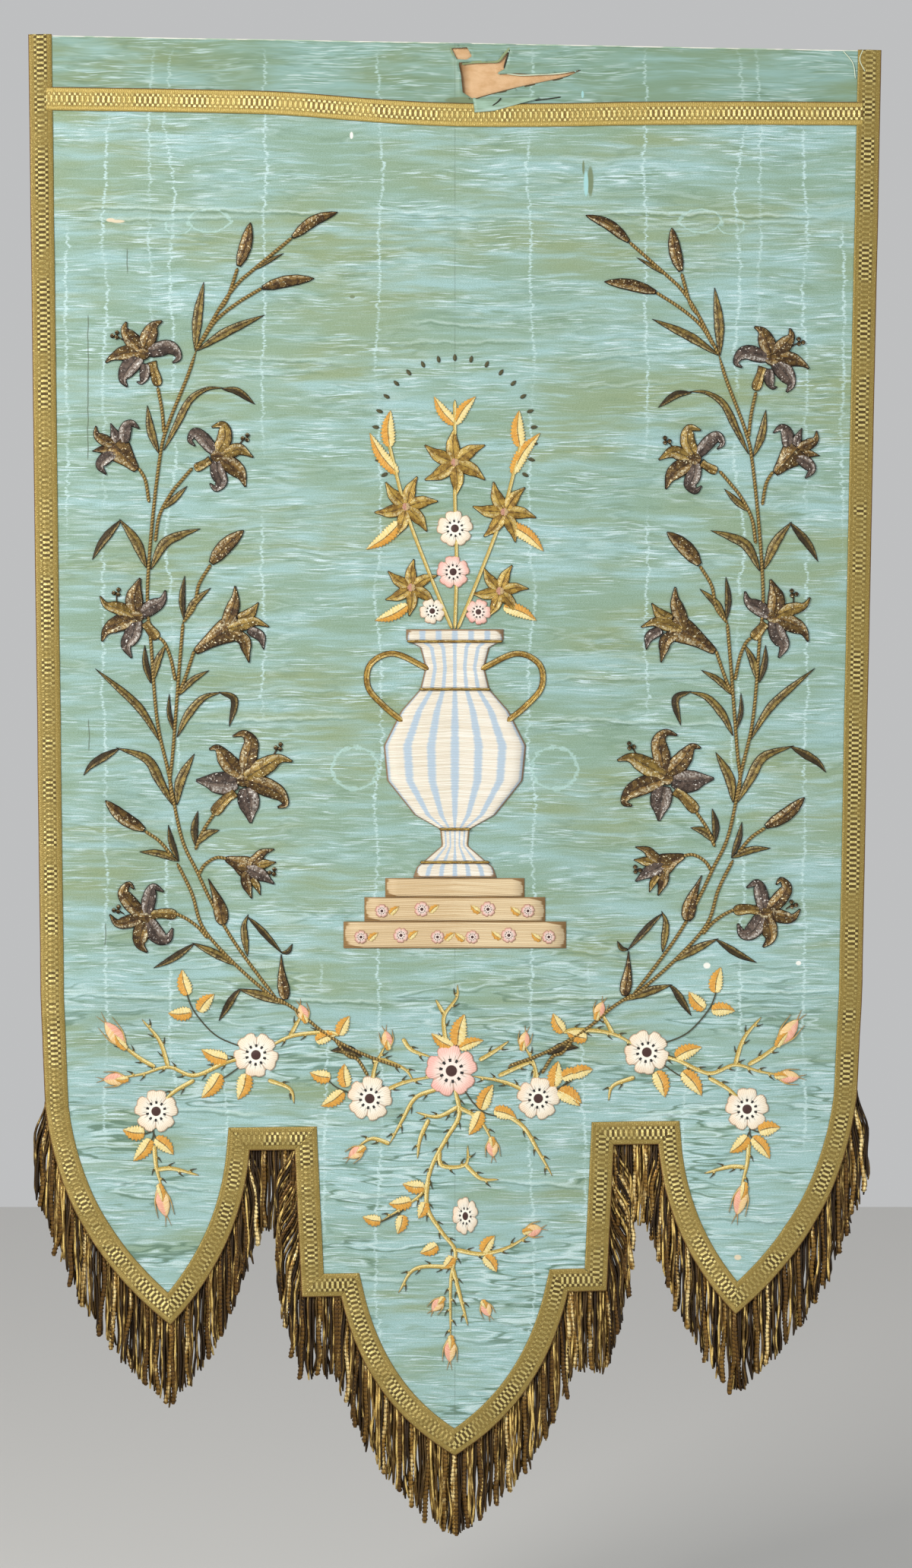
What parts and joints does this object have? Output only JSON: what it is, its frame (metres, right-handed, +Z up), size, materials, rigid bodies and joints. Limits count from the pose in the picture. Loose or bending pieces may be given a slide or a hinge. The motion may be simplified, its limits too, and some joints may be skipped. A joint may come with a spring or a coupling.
{
  "type": "church banner",
  "caption": "Flat hanging silk banner with a dagged hem, gilt braid edges, a bullion fringe, padded lily sprays, a lily pot and a rose garland.",
  "frame": {"origin": "middle of the top edge, in the middle of the cloth's thickness", "axes": "+X to the right as the face is seen, +Y backwards from the face, +Z up"},
  "size_m": [0.986, 0.0241, 1.7315],
  "materials": {
    "silk": "watered silk with a soft sheen, pale sea green with light blue water marks",
    "canvas": "matt plain-weave canvas",
    "metal_braid": "woven gilt metal braid, glinting",
    "bullion": "twisted gilt bullion, tarnished",
    "metal_thread": "tarnished gilt thread laid and couched over padding",
    "silk_floss": "satin stitch in silk floss"
  },
  "bodies": {
    "root": {"silk_field": "silk", "heading_silk": "silk", "heading_canvas": "canvas", "edge_braid": "metal_braid", "cross_braid": "metal_braid", "fringe_lobe_right": "bullion", "fringe_notch_right": "bullion", "fringe_centre": "bullion", "fringe_notch_left": "bullion", "fringe_lobe_left": "bullion", "lily_spray_left": "metal_thread", "lily_spray_right": "metal_thread", "plinth": "silk_floss", "vase": "silk_floss", "bouquet": "silk_floss", "rose_garland_left": "silk_floss", "rose_garland_right": "silk_floss", "rose_garland_centre": "silk_floss"}
  },
  "joints": []
}
